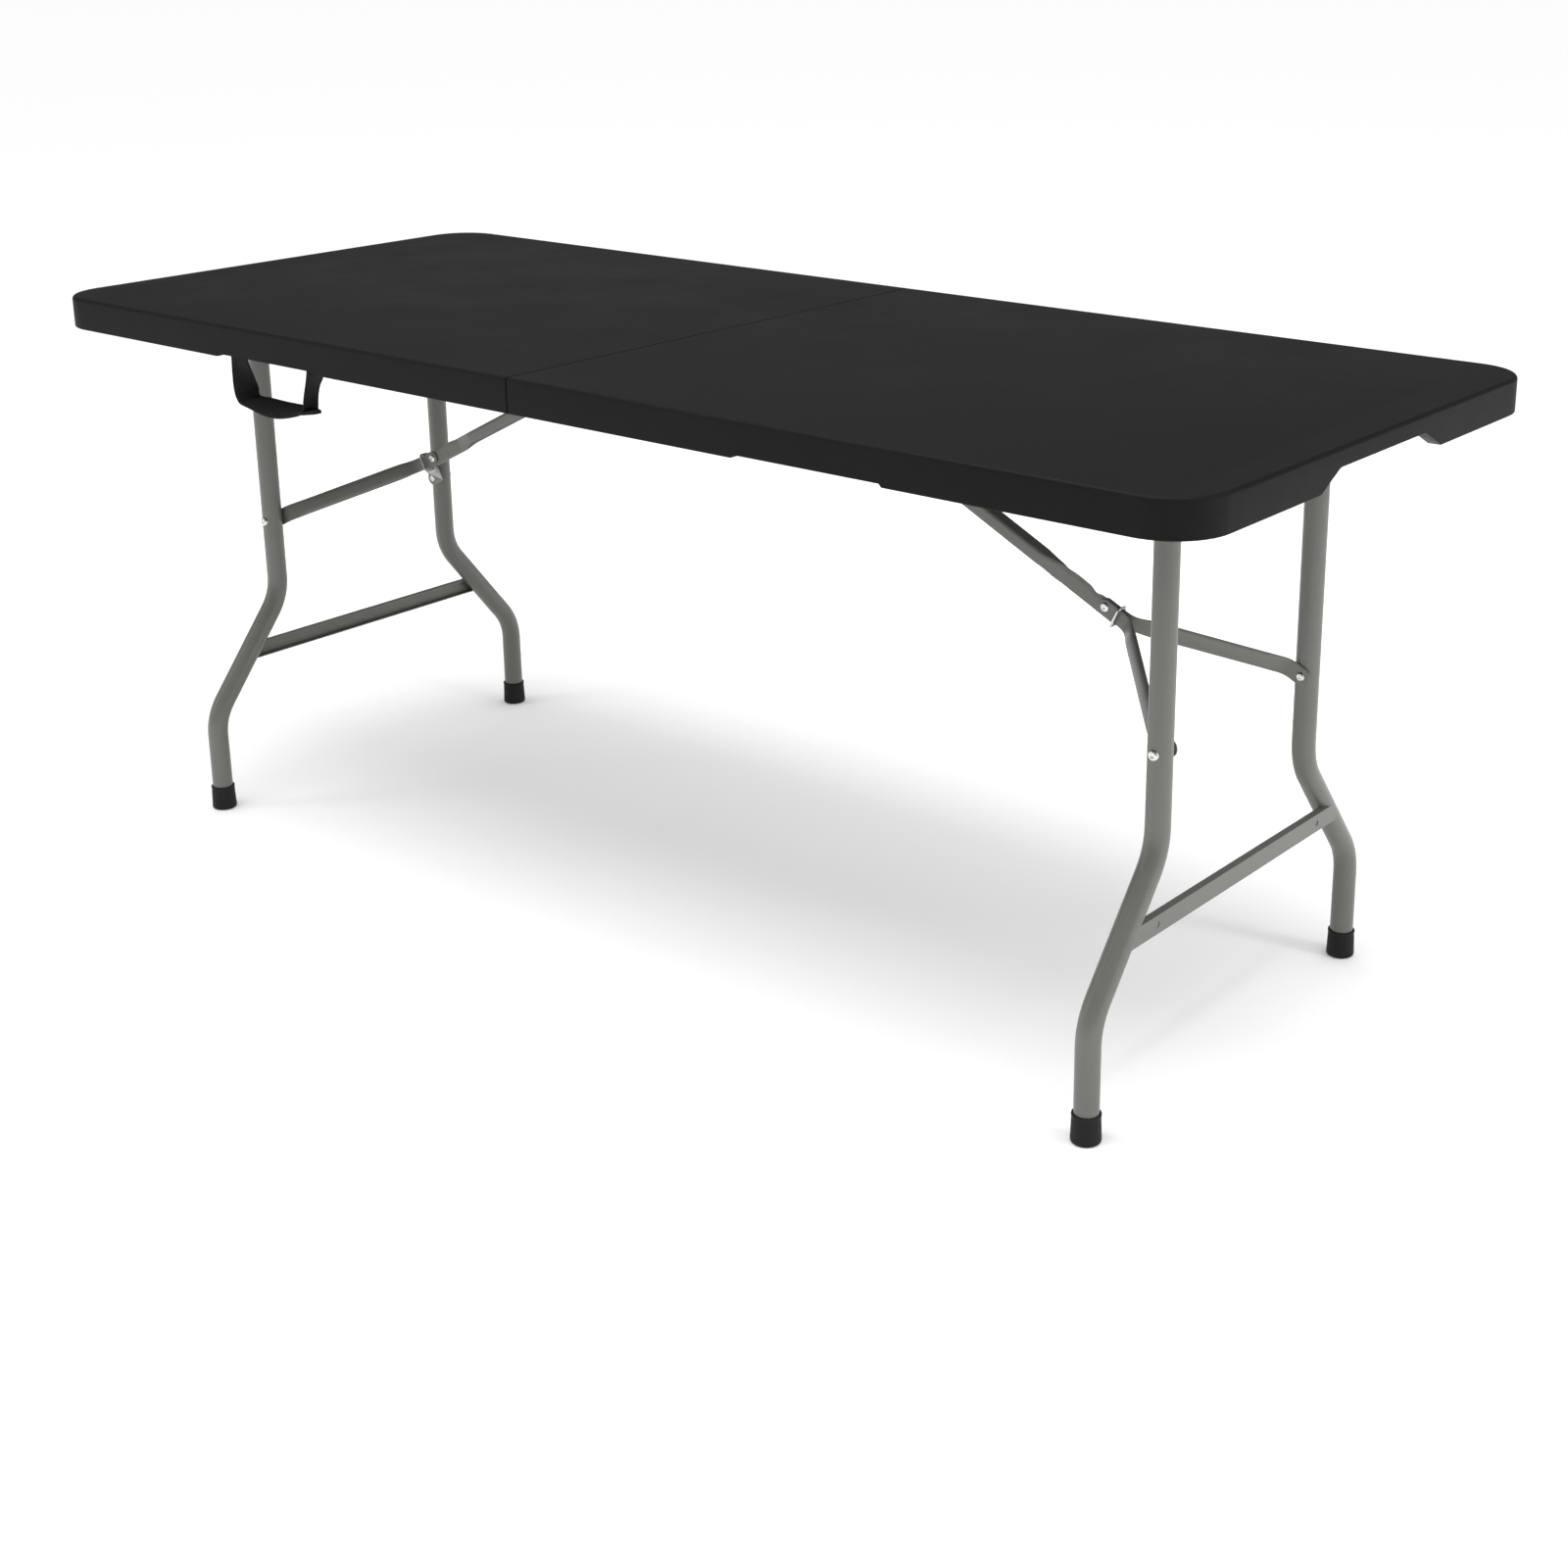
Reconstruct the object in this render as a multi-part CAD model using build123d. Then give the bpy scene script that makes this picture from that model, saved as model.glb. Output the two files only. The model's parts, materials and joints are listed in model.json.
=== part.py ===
"""Fold-in-half table, 1.8 m long: two moulded halves, two folding leg frames, locking braces, strap handle.

Millimetres. X runs along the table, Y across it, Z up. The origin is on the floor, under the middle of the top.
The seam between the halves is the plane X = 0. The handle hangs on the front, at -Y.
"""
from build123d import *
from math import atan2, cos, degrees, hypot, radians, sin
import os

# Overall sizes
table_length = 1800.0
table_width = 740.0
table_height = 740.0

# Moulded halves
rim_depth = 42.0
rim_width = 16.0
top_thickness = 6.5
seam_gap = 2.0
corner_radius = 65.0
top_edge_radius = 5.0
bottom_edge_radius = 1.5
hinge_drop = 1.6
grip_length = 270.0
grip_depth = 21.0
grip_slope = 42.0
grip_round = 14.0

# Leg frames
tube_diameter = 28.0
tube_wall = 1.3
leg_inset = 156.0
pivot_depth = 26.0
upper_half_spread = 158.0
lower_half_spread = 282.0
bend_height_upper = 291.0
bend_height_lower = 137.0
bend_radius = 75.0
pivot_tube_diameter = 20.0
pivot_end_gap = 1.0
crossbar_height = 214.0
crossbar_width = 22.0
crossbar_depth = 9.5
crossbar_sheet = 1.5
crossbar_spot_diameter = 7.0
crossbar_spot_inset = 46.0

# Rubber feet
foot_height = 34.0
foot_floor = 4.0
foot_top_diameter = 32.5
foot_bottom_diameter = 34.0
foot_round = 3.0

# Side rails and their bushes
rail_offset = 7.0
rail_height = 33.5
rail_sheet = 1.5
rail_top_flange = 18.0
rail_bottom_flange = 8.0
rail_end_gap = 14.0
rail_tail = 110.0
rail_screws_each = 4
rail_screw_first = 30.0
rail_screw_last = 10.0
bush_wall = 1.2
bush_flange = 1.2
bush_flange_length = 1.4
bush_length = 5.0

# Braces
brace_pivot_inset = 102.0
brace_pivot_depth = 19.5
brace_rivet_drop = 312.0
link_width = 18.0
link_top = 7.0
link_bottom = 5.0
link_sheet = 1.2
link_tail = 8.0
plate_top = 9.0
plate_bottom = 10.0
plate_reach = 64.0
plate_overlap = 22.0
pinch_length = 34.0
plate_start_drop = 1.0
plate_wave = ((44.0, 0.0), (30.0, 0.4), (17.0, 3.2), (8.0, 1.2))
plate_nose = 4.0
plate_nose_drop = 1.5
link_tail_corner = 2.0
arm_sheet = 2.4
arm_neck = 33.0
arm_neck_half_height = 8.0
arm_half_height = 9.0
arm_thickness = 7.0
arm_end_radius = 10.0
arm_end_flat = 19.0
arm_blend = 12.0
arm_tube_short = 36.0
arm_tube_round = 3.0
knee_rivet_diameter = 6.0
knee_head_diameter = 11.0
knee_head_height = 1.6
knee_head_round = 1.0
leg_rivet_diameter = 6.0
leg_head_diameter = 12.0
leg_head_height = 2.4
leg_head_round = 1.4
leg_head_sink = 0.5
arm_head_diameter = 10.0

# Lock rings
ring_wire = 2.6
ring_place = 18.0
ring_top_gap = 0.5
ring_bottom_gap = 3.4
ring_side_gap = 0.7
ring_corner_radius = 2.2

# Brace brackets under the top
bracket_length = 62.0
bracket_width = 46.0
bracket_sheet = 1.5
bracket_ear_width = 20.0
bracket_ear_drop = 9.0
bracket_pin_diameter = 6.0
bracket_pin_head = 2.0
bracket_pin_head_diameter = 9.6
bracket_ear_shoulder = 2.0
bracket_screw_x = 22.0
bracket_screw_y = 17.0

# Centre hinges
hinge_spacing = 500.0
hinge_length = 80.0
leaf_sheet = 1.2
leaf_width = 14.0
barrel_radius = 3.0
hinge_pin_diameter = 3.2
knuckles = 5
barrel_room = 0.6

# Screws
screw_diameter = 4.0
screw_depth = 5.0
screw_head_diameter = 8.5
screw_head_height = 2.2
screw_head_round = 0.9
leaf_screw_diameter = 3.4
leaf_screw_depth = 12.0
leaf_screw_head = 6.4

# Strap handle
strap_width = 33.0
strap_thickness = 2.2
handle_centre = 440.0
handle_span = 182.0
handle_drop = 62.0
handle_taper = 17.0
handle_tab_height = 24.0
relief_depth = 4.0
relief_room = 11.0
handle_screw_head = 1.8
handle_screw_round = 0.7
handle_screw_rise = 14.9
grip_end_share = 0.6

# Clearances
body_gap = 0.3
pin_clearance = 0.05
screw_clearance = 0.02

# Worked out from the sizes above
half_length = table_length / 2
half_width = table_width / 2
seam = seam_gap / 2
rim_bottom = table_height - rim_depth
underside = table_height - top_thickness
hinge_axis_z = rim_bottom - hinge_drop
leg_x = half_length - leg_inset
pivot_z = table_height - pivot_depth
brace_z = table_height - brace_pivot_depth
rivet_z = pivot_z - brace_rivet_drop
tube_radius = tube_diameter / 2
pivot_radius = pivot_tube_diameter / 2
rail_face = half_width - rim_width - rail_offset
arm_outer_face = upper_half_spread - tube_radius - body_gap
brace_angle = degrees(atan2(brace_z - rivet_z, leg_x - brace_pivot_inset))
brace_span = hypot(leg_x - brace_pivot_inset, brace_z - rivet_z)
folded_rivet_run = leg_x - brace_rivet_drop - brace_pivot_inset
folded_rivet_rise = brace_z - pivot_z
link_length = (brace_span**2 - folded_rivet_run**2 - folded_rivet_rise**2) / (2 * (brace_span - folded_rivet_run))
arm_length = brace_span - link_length
knee_x = brace_pivot_inset + link_length * cos(radians(brace_angle))
knee_z = brace_z - link_length * sin(radians(brace_angle))
knee_fold = 180 - degrees(atan2(folded_rivet_rise, link_length - folded_rivet_run))


def box(x0, x1, y0, y1, z0, z1):
    """A box between two corners."""
    centre = Location(((x0 + x1) / 2, (y0 + y1) / 2, (z0 + z1) / 2))
    return centre * Box(abs(x1 - x0), abs(y1 - y0), abs(z1 - z0))


def rod_y(x, z, radius, y0, y1):
    """A round rod along Y."""
    return Location((x, (y0 + y1) / 2, z), (90, 0, 0)) * Cylinder(radius, abs(y1 - y0))


def rod_z(x, y, radius, z0, z1):
    """A round rod along Z."""
    return Location((x, y, (z0 + z1) / 2)) * Cylinder(radius, abs(z1 - z0))


def both_sides(part):
    """The part and its mirror image across the table's middle line."""
    return [part, mirror(part, about=Plane.XZ)]


def half_outline(inset):
    """A half's plan outline, rounded at the two outer corners only."""
    x0 = seam + inset
    x1 = half_length - inset
    y1 = half_width - inset
    face = make_face(Polyline((x0, -y1), (x1, -y1), (x1, y1), (x0, y1), close=True))
    outer = [corner for corner in face.vertices() if corner.X > half_length / 2]
    return fillet(outer, corner_radius - inset)


# ---------------------------------------------------------------- moulded halves

def screw_points():
    """Plan places of the screws that hold the rails to a half."""
    y = rail_face - rail_top_flange / 2
    first = seam + rim_width + rail_end_gap + rail_screw_first
    last = half_length - rail_tail - rail_screw_last
    pitch = (last - first) / (rail_screws_each - 1)
    xs = [first + pitch * step for step in range(rail_screws_each)]
    return [(x, side * y) for x in xs for side in (-1, 1)]


def bracket_screw_points():
    """Plan places of the screws that hold a brace bracket."""
    signs = [(sx, sy) for sx in (-1, 1) for sy in (-1, 1)]
    return [(brace_pivot_inset + sx * bracket_screw_x, sy * bracket_screw_y) for sx, sy in signs]


def leaf_screw_points():
    """Plan places of the hinge leaf screws, three to a leaf."""
    x = seam + barrel_radius + leaf_width / 2
    steps = (-1, 0, 1)
    centres = (-hinge_spacing / 2, hinge_spacing / 2)
    return [(x, centre + step * hinge_length / 3) for centre in centres for step in steps]


def grip_cut():
    """The arch in the end rim, a hand hold when the table is folded."""
    half = grip_length / 2
    low = rim_bottom - 1
    high = rim_bottom + grip_depth
    points = [(-half, low), (-half + grip_slope, high), (half - grip_slope, high), (half, low)]
    face = make_face(Polyline(*points, close=True))
    face = fillet([corner for corner in face.vertices() if corner.Y > low + 1], grip_round)
    return extrude(Plane.YZ.offset(half_length - rim_width - 1) * face, rim_width + 2)


def strap_relief():
    """The shallow notch in the front rim that the handle's strap passes through."""
    half = handle_span / 2 + relief_room
    low = rim_bottom - 1
    high = rim_bottom + relief_depth
    points = [(-half, low), (-half + relief_depth, high), (half - relief_depth, high), (half, low)]
    face = make_face(Polyline(*[(handle_centre + x, z) for x, z in points], close=True))
    sheet = Plane.XZ.offset(half_width - rim_width - 1) * face
    return extrude(sheet, rim_width + 2)


def moulded_half():
    """One half of the top: a flat skin with a deep rim all round, open underneath."""
    body = extrude(Plane.XY.offset(rim_bottom) * half_outline(0), rim_depth)
    seam_face = body.faces().sort_by(Axis.X)[0]
    top_edges = [e for e in body.faces().sort_by(Axis.Z)[-1].edges() if e not in seam_face.edges()]
    body = fillet(top_edges, top_edge_radius)
    seam_face = body.faces().sort_by(Axis.X)[0]
    low_edges = [e for e in body.faces().sort_by(Axis.Z)[0].edges() if e not in seam_face.edges()]
    body = fillet(low_edges, bottom_edge_radius)
    body -= extrude(Plane.XY.offset(rim_bottom) * half_outline(rim_width), rim_depth - top_thickness)
    body -= grip_cut()
    body -= strap_relief()
    pocket = barrel_radius + barrel_room
    for y in (-hinge_spacing / 2, hinge_spacing / 2):
        reach = hinge_length / 2 + barrel_room
        body -= box(0, pocket, y - reach, y + reach, rim_bottom - 1, hinge_axis_z + pocket)
    for x, y in screw_points() + bracket_screw_points():
        body -= rod_z(x, y, screw_diameter / 2 + screw_clearance, underside - 1, underside + screw_depth)
    for x, y in leaf_screw_points():
        body -= rod_z(x, y, leaf_screw_diameter / 2 + screw_clearance, rim_bottom - 1, rim_bottom + leaf_screw_depth)
    return body


# ---------------------------------------------------------------- rails, bushes and their screws

def rail():
    """A pressed steel side rail, a channel that opens towards the middle of the table."""
    x0 = seam + rim_width + rail_end_gap
    x1 = half_length - rail_tail + 2 * pivot_tube_diameter
    z0 = underside - rail_height
    web = box(x0, x1, rail_face - rail_sheet, rail_face, z0, underside)
    top = box(x0, x1, rail_face - rail_top_flange, rail_face, underside - rail_sheet, underside)
    low = box(x0, x1, rail_face - rail_bottom_flange, rail_face, z0, z0 + rail_sheet)
    body = web + top + low
    hole = pivot_radius + bush_wall + pin_clearance
    body -= rod_y(leg_x, pivot_z, hole, rail_face - 2 * rail_sheet, rail_face + 1)
    for x, y in screw_points():
        if y > 0:
            radius = screw_diameter / 2 + screw_clearance
            body -= rod_z(x, y, radius, underside - 2 * rail_sheet, underside + 1)
    return body


def bush():
    """A flanged nylon bush in the rail, which the leg frame's pivot tube turns in."""
    inner = rail_face - rail_sheet
    outer = pivot_radius + bush_wall
    sleeve = rod_y(leg_x, pivot_z, outer, inner, inner + bush_length)
    flange = rod_y(leg_x, pivot_z, outer + bush_flange, inner - bush_flange_length, inner)
    bore = rod_y(leg_x, pivot_z, pivot_radius + pin_clearance, inner - 5, inner + 2 * bush_length)
    return sleeve + flange - bore


def pan_screw(x, y, seat):
    """A pan-head screw driven upwards, its head under the seat height."""
    head = rod_z(x, y, screw_head_diameter / 2, seat - screw_head_height, seat)
    head = fillet(head.edges().sort_by(Axis.Z)[0], screw_head_round)
    shank = rod_z(x, y, screw_diameter / 2, seat, underside + screw_depth - body_gap)
    return head + shank


def rail_screws():
    """The eight screws that hold a half's two rails."""
    return [pan_screw(x, y, underside - rail_sheet) for x, y in screw_points()]


def bracket_screws():
    """The four screws that hold a brace bracket."""
    return [pan_screw(x, y, underside - bracket_sheet) for x, y in bracket_screw_points()]


# ---------------------------------------------------------------- centre hinges

def leaf(first):
    """Both hinge leaves of one half. The knuckles alternate, starting at knuckle number first."""
    leaves = []
    x0 = seam + barrel_radius + barrel_room
    x1 = seam + barrel_radius + leaf_width
    pitch = hinge_length / knuckles
    for centre in (-hinge_spacing / 2, hinge_spacing / 2):
        start = centre - hinge_length / 2
        body = box(x0, x1, start, start + hinge_length, rim_bottom - leaf_sheet, rim_bottom)
        for number in range(first, knuckles, 2):
            y0 = start + number * pitch + body_gap / 2
            y1 = y0 + pitch - body_gap
            body += rod_y(0, hinge_axis_z, barrel_radius, y0, y1)
            body += box(0, x0 + 0.5, y0, y1, rim_bottom - leaf_sheet, rim_bottom)
        body -= rod_y(0, hinge_axis_z, hinge_pin_diameter / 2 + pin_clearance, start - 1, start + hinge_length + 1)
        for x, y in leaf_screw_points():
            if abs(y - centre) < hinge_length:
                radius = leaf_screw_diameter / 2 + screw_clearance
                body -= rod_z(x, y, radius, rim_bottom - 3, rim_bottom + 1)
                body -= leaf_sink(x, y, screw_clearance)
        leaves.append(body)
    return leaves


def leaf_sink(x, y, extra):
    """The cone of a countersunk hinge screw, with its wide end flush under the leaf."""
    place = Location((x, y, rim_bottom - leaf_sheet / 2))
    return place * Cone(leaf_screw_head / 2 + extra, leaf_screw_diameter / 2 + extra, leaf_sheet)


def leaf_screws():
    """The countersunk screws of one half's hinge leaves."""
    screws = []
    for x, y in leaf_screw_points():
        shank = rod_z(x, y, leaf_screw_diameter / 2, rim_bottom, rim_bottom + leaf_screw_depth - body_gap)
        screws.append(shank + leaf_sink(x, y, 0))
    return screws


def hinge_pins():
    """The two plain pins that the knuckles of both halves turn on."""
    pins = []
    for centre in (-hinge_spacing / 2, hinge_spacing / 2):
        y0 = centre - hinge_length / 2
        pins.append(rod_y(0, hinge_axis_z, hinge_pin_diameter / 2, y0, y0 + hinge_length))
    return pins


# ---------------------------------------------------------------- leg frames

def leg_line():
    """The centre line of a leg tube, from its pivot down to the floor of its rubber foot."""
    points = [
        (leg_x, upper_half_spread, pivot_z),
        (leg_x, upper_half_spread, bend_height_upper),
        (leg_x, lower_half_spread, bend_height_lower),
        (leg_x, lower_half_spread, foot_floor),
    ]
    return FilletPolyline(*points, radius=bend_radius)


def leg_solid(radius):
    """A round bar of the given radius along the leg's centre line."""
    start = Plane(origin=(leg_x, upper_half_spread, pivot_z), z_dir=(0, 0, -1))
    return sweep(start * Circle(radius), path=leg_line())


def leg_tube():
    """One leg tube, coped at the top onto the pivot tube and drilled for its brace rivet."""
    body = leg_solid(tube_radius) - leg_solid(tube_radius - tube_wall)
    body -= rod_y(leg_x, pivot_z, pivot_radius, 0, half_width)
    reach = tube_radius + 2
    drill = leg_rivet_diameter / 2 + screw_clearance
    body -= rod_y(leg_x, rivet_z, drill, upper_half_spread - reach, upper_half_spread + reach)
    return body


def pivot_tube():
    """The cross tube that a leg frame turns on, held in the rails' bushes."""
    end = rail_face - rail_sheet + bush_length - pivot_end_gap
    body = rod_y(leg_x, pivot_z, pivot_radius, -end, end)
    return body - rod_y(leg_x, pivot_z, pivot_radius - tube_wall, -end - 1, end + 1)


def slope_y(z):
    """How far out the leg's centre line is at height z on its slanting stretch."""
    share = (bend_height_upper - z) / (bend_height_upper - bend_height_lower)
    return upper_half_spread + share * (lower_half_spread - upper_half_spread)


def crossbar():
    """The pressed channel between the slanting stretches, coped onto the outer side of both tubes."""
    z0 = crossbar_height - crossbar_width / 2
    z1 = crossbar_height + crossbar_width / 2
    x1 = leg_x + tube_radius
    x0 = x1 - crossbar_depth
    sheet = crossbar_sheet
    half = [(-slope_y(z0), z0), (slope_y(z0), z0), (slope_y(z1), z1), (-slope_y(z1), z1)]
    body = extrude(Plane.YZ.offset(x0) * make_face(Polyline(*half, close=True)), crossbar_depth)
    reach = lower_half_spread + tube_radius
    body -= box(x0 - 1, x1 - sheet, -reach, reach, z0 + sheet, z1 - sheet)
    for tube in both_sides(leg_solid(tube_radius)):
        body -= tube
    spot_y = slope_y(crossbar_height) - crossbar_spot_inset
    for y in (-spot_y, spot_y):
        spot = Location((x1, y, crossbar_height), (0, 90, 0))
        body -= spot * Cylinder(crossbar_spot_diameter / 2, sheet)
    return body.solids().sort_by(SortBy.VOLUME)[-1]


def foot():
    """A rubber cap on the leg's end, a little wider at the floor."""
    y = lower_half_spread
    shape = Cone(foot_bottom_diameter / 2, foot_top_diameter / 2, foot_height)
    body = Location((leg_x, y, foot_height / 2)) * shape
    body = fillet(body.edges().sort_by(Axis.Z)[0], foot_round)
    return body - rod_z(leg_x, y, tube_radius, foot_floor, foot_height + 1)


def leg_rivet():
    """The rivet across a leg tube. Its inner end is flush, because the brace is opened at this pivot."""
    inner = upper_half_spread - tube_radius
    outer = upper_half_spread + tube_radius
    shank = rod_y(leg_x, rivet_z, leg_rivet_diameter / 2, inner, outer)
    head = rod_y(leg_x, rivet_z, leg_head_diameter / 2, outer - leg_head_sink, outer + leg_head_height)
    head = fillet(head.edges().sort_by(Axis.Y)[-1], leg_head_round)
    head -= leg_solid(tube_radius)
    return shank + head


# ---------------------------------------------------------------- braces

def link_place():
    """Where a brace's upper link lies: its own X runs from the bracket pin to the knee."""
    return Location((brace_pivot_inset, 0, brace_z), (0, brace_angle, 0))


def arm_place():
    """Where a brace's arms lie: their own X runs from the knee to the leg rivets."""
    return Location((knee_x, 0, knee_z), (0, brace_angle, 0))


def ribbon(points, thickness, z0, z1):
    """A strip that follows the plan points, the thickness split evenly about them, with mitred bends."""
    near = []
    far = []
    last = len(points) - 1
    for i, point in enumerate(points):
        here = Vector(*point)
        before = (here - Vector(*points[i - 1])).normalized() if i > 0 else None
        after = (Vector(*points[i + 1]) - here).normalized() if i < last else None
        along = ((before or after) + (after or before)).normalized()
        mitre = thickness / 2 / along.dot(before or after)
        across = Vector(-along.Y, along.X) * mitre
        near.append(here - across)
        far.append(here + across)
    face = make_face(Polyline(*near, *reversed(far), close=True))
    return extrude(Plane.XY.offset(z0) * face, z1 - z0)


def link_side_shape():
    """The upper link seen from the side: a channel, then the taller wavy plate at the knee."""
    k = link_length
    plate = k - plate_reach
    mouth = plate - pinch_length
    tip = k + plate_overlap
    top = [
        (-link_tail, link_top),
        (mouth, link_top),
        (plate, plate_top - plate_start_drop),
        *[(k - back, plate_top - drop) for back, drop in plate_wave],
        (tip - plate_nose, plate_top - plate_nose_drop),
        (tip, plate_top - plate_nose),
    ]
    corner = link_tail_corner
    low = [(tip, plate_nose - plate_bottom), (tip - plate_nose, -plate_bottom), (plate, -plate_bottom)]
    low += [(mouth, -link_bottom), (corner - link_tail, -link_bottom), (-link_tail, corner - link_bottom)]
    return make_face(Polyline(*top, *low, close=True))


def upper_link():
    """The long link: an inverted channel whose flanges are pinched together into one plate at the knee."""
    k = link_length
    plate = k - plate_reach
    mouth = plate - pinch_length
    tip = k + plate_overlap
    wide = (link_width - link_sheet) / 2
    flange = ribbon(
        [(-link_tail, wide), (mouth, wide), (plate, link_sheet / 2), (tip, link_sheet / 2)],
        link_sheet,
        -plate_bottom,
        plate_top,
    )
    flanges = flange + mirror(flange, about=Plane.XZ)
    side = extrude(Plane.XZ.offset(-link_width) * link_side_shape(), 2 * link_width)
    body = flanges & side
    web = [(-link_tail, wide), (mouth, wide), (plate, 0.2), (plate, -0.2), (mouth, -wide), (-link_tail, -wide)]
    body += extrude(Plane.XY.offset(link_top - link_sheet) * make_face(Polyline(*web, close=True)), link_sheet)
    body -= rod_y(0, 0, bracket_pin_diameter / 2 + pin_clearance, -link_width, link_width)
    body -= rod_y(k, 0, knee_rivet_diameter / 2 + pin_clearance, -link_width, link_width)
    return link_place() * body


def arm():
    """One arm of the fork: flat at the knee, an oval tube on the slant, flat again against the leg."""
    neck_y = link_sheet + body_gap + arm_sheet / 2
    end_y = arm_outer_face - arm_sheet / 2
    bend = arm_length - arm_end_flat
    strip = ribbon(
        [(-arm_neck_half_height, neck_y), (arm_neck, neck_y), (bend, end_y), (arm_length + arm_end_radius, end_y)],
        arm_sheet,
        -arm_end_radius,
        arm_end_radius,
    )
    nose = Circle(arm_neck_half_height)
    tail = Pos(arm_length, 0) * Circle(arm_end_radius)
    h0 = arm_neck_half_height
    h1 = arm_half_height
    r = arm_end_radius
    shape = [(0, h0), (arm_neck, h0), (arm_neck + arm_blend, h1), (bend - arm_blend, h1), (bend, r), (arm_length, r)]
    shape += [(x, -z) for x, z in reversed(shape)]
    profile = make_face(Polyline(*shape, close=True)) + nose + tail
    body = strip & extrude(Plane.XZ.offset(-half_width) * profile, table_width)
    turn = degrees(atan2(end_y - neck_y, bend - arm_neck))
    run = hypot(end_y - neck_y, bend - arm_neck)
    middle = Location(((arm_neck + bend) / 2, (neck_y + end_y) / 2, 0), (0, 0, turn))
    tube = Box(run - arm_tube_short, arm_thickness, 2 * arm_half_height)
    tube = fillet(tube.edges().filter_by(Axis.X), arm_tube_round)
    body += middle * tube
    body -= rod_y(0, 0, knee_rivet_diameter / 2 + screw_clearance, 0, 2 * neck_y)
    body -= rod_y(arm_length, 0, leg_rivet_diameter / 2 + screw_clearance, end_y - arm_sheet, end_y + arm_sheet)
    return arm_place() * body


def knee_rivet():
    """The rivet through both arms and the plate between them."""
    face = link_sheet + body_gap + arm_sheet
    body = rod_y(0, 0, knee_rivet_diameter / 2, -face, face)
    for side in (-1, 1):
        head = rod_y(0, 0, knee_head_diameter / 2, side * face, side * (face + knee_head_height))
        rim = head.edges().sort_by(Axis.Y)[-1 if side > 0 else 0]
        body += fillet(rim, knee_head_round)
    return arm_place() * body


def arm_rivet():
    """The inner end of a leg rivet, which stays on the arm: a head and the shank through the flat end."""
    inner = arm_outer_face - arm_sheet
    shank = rod_y(arm_length, 0, leg_rivet_diameter / 2, inner, arm_outer_face)
    head = rod_y(arm_length, 0, arm_head_diameter / 2, inner - leg_head_height, inner)
    head = fillet(head.edges().sort_by(Axis.Y)[0], leg_head_round)
    return arm_place() * (shank + head)


def lock_ring():
    """A welded wire ring round the plate and both arms, which keeps the knee straight."""
    top = plate_top + ring_top_gap + ring_wire / 2
    low = -plate_bottom - ring_bottom_gap - ring_wire / 2
    side = link_sheet + body_gap + arm_sheet + knee_head_height + ring_side_gap + ring_wire / 2
    points = [(ring_place, -side, low), (ring_place, side, low), (ring_place, side, top), (ring_place, -side, top)]
    path = FilletPolyline(*points, radius=ring_corner_radius, close=True)
    start = Plane(origin=(ring_place, 0, low), z_dir=(0, 1, 0))
    body = sweep(start * Circle(ring_wire / 2), path=path)
    return arm_place() * body


def brace_bracket():
    """The folded bracket under the top that the upper link's pin passes through."""
    x0 = brace_pivot_inset - bracket_length / 2
    half = bracket_width / 2
    body = box(x0, x0 + bracket_length, -half, half, underside - bracket_sheet, underside)
    ear_y = link_width / 2 + body_gap
    ear = [
        (brace_pivot_inset - bracket_ear_width / 2, underside - bracket_sheet),
        (brace_pivot_inset - bracket_ear_width / 2, brace_z - bracket_ear_shoulder),
        (brace_pivot_inset - bracket_ear_width / 4, brace_z - bracket_ear_drop),
        (brace_pivot_inset + bracket_ear_width / 4, brace_z - bracket_ear_drop),
        (brace_pivot_inset + bracket_ear_width / 2, brace_z - bracket_ear_shoulder),
        (brace_pivot_inset + bracket_ear_width / 2, underside - bracket_sheet),
    ]
    plate = extrude(Plane.XZ.offset(ear_y) * make_face(Polyline(*ear, close=True)), bracket_sheet)
    for each in both_sides(plate):
        body += each
    body -= rod_y(brace_pivot_inset, brace_z, bracket_pin_diameter / 2 + pin_clearance, -half, half)
    for x, y in bracket_screw_points():
        body -= rod_z(x, y, screw_diameter / 2 + screw_clearance, underside - 3, underside + 1)
    return body


def bracket_pin():
    """The headed pin of a brace bracket."""
    face = link_width / 2 + body_gap + bracket_sheet
    body = rod_y(brace_pivot_inset, brace_z, bracket_pin_diameter / 2, -face, face)
    radius = bracket_pin_head_diameter / 2
    for side in (-1, 1):
        body += rod_y(brace_pivot_inset, brace_z, radius, side * face, side * (face + bracket_pin_head))
    return body


# ---------------------------------------------------------------- strap handle

def strap_y():
    """The strap's middle plane, just inside the front rim."""
    return -(half_width - rim_width - strap_thickness / 2)


def carry_handle():
    """The hanging part of the webbing handle: two flat ends and a grip turned across them."""
    y = strap_y()
    half = handle_span / 2
    t = strap_thickness
    grip_z = hinge_axis_z - handle_drop
    body = None
    for side in (-1, 1):
        outer = handle_centre + side * half
        foot_x = outer - side * handle_taper
        top = [(outer, hinge_axis_z), (outer - side * strap_width, hinge_axis_z)]
        low = [(foot_x - side * strap_width * grip_end_share, grip_z), (foot_x, grip_z)]
        plate = extrude(Plane.XZ.offset(-y - t / 2) * make_face(Polyline(*top, *low, close=True)), t)
        hem = Location((outer - side * strap_width / 2, y, hinge_axis_z), (0, 90, 0)) * Cylinder(t / 2, strap_width)
        body = plate + hem if body is None else body + plate + hem
    reach = half - handle_taper
    x0 = handle_centre - reach
    body += box(x0, x0 + 2 * reach, y - strap_width / 2, y + strap_width / 2, grip_z - t, grip_z)
    return body


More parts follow.
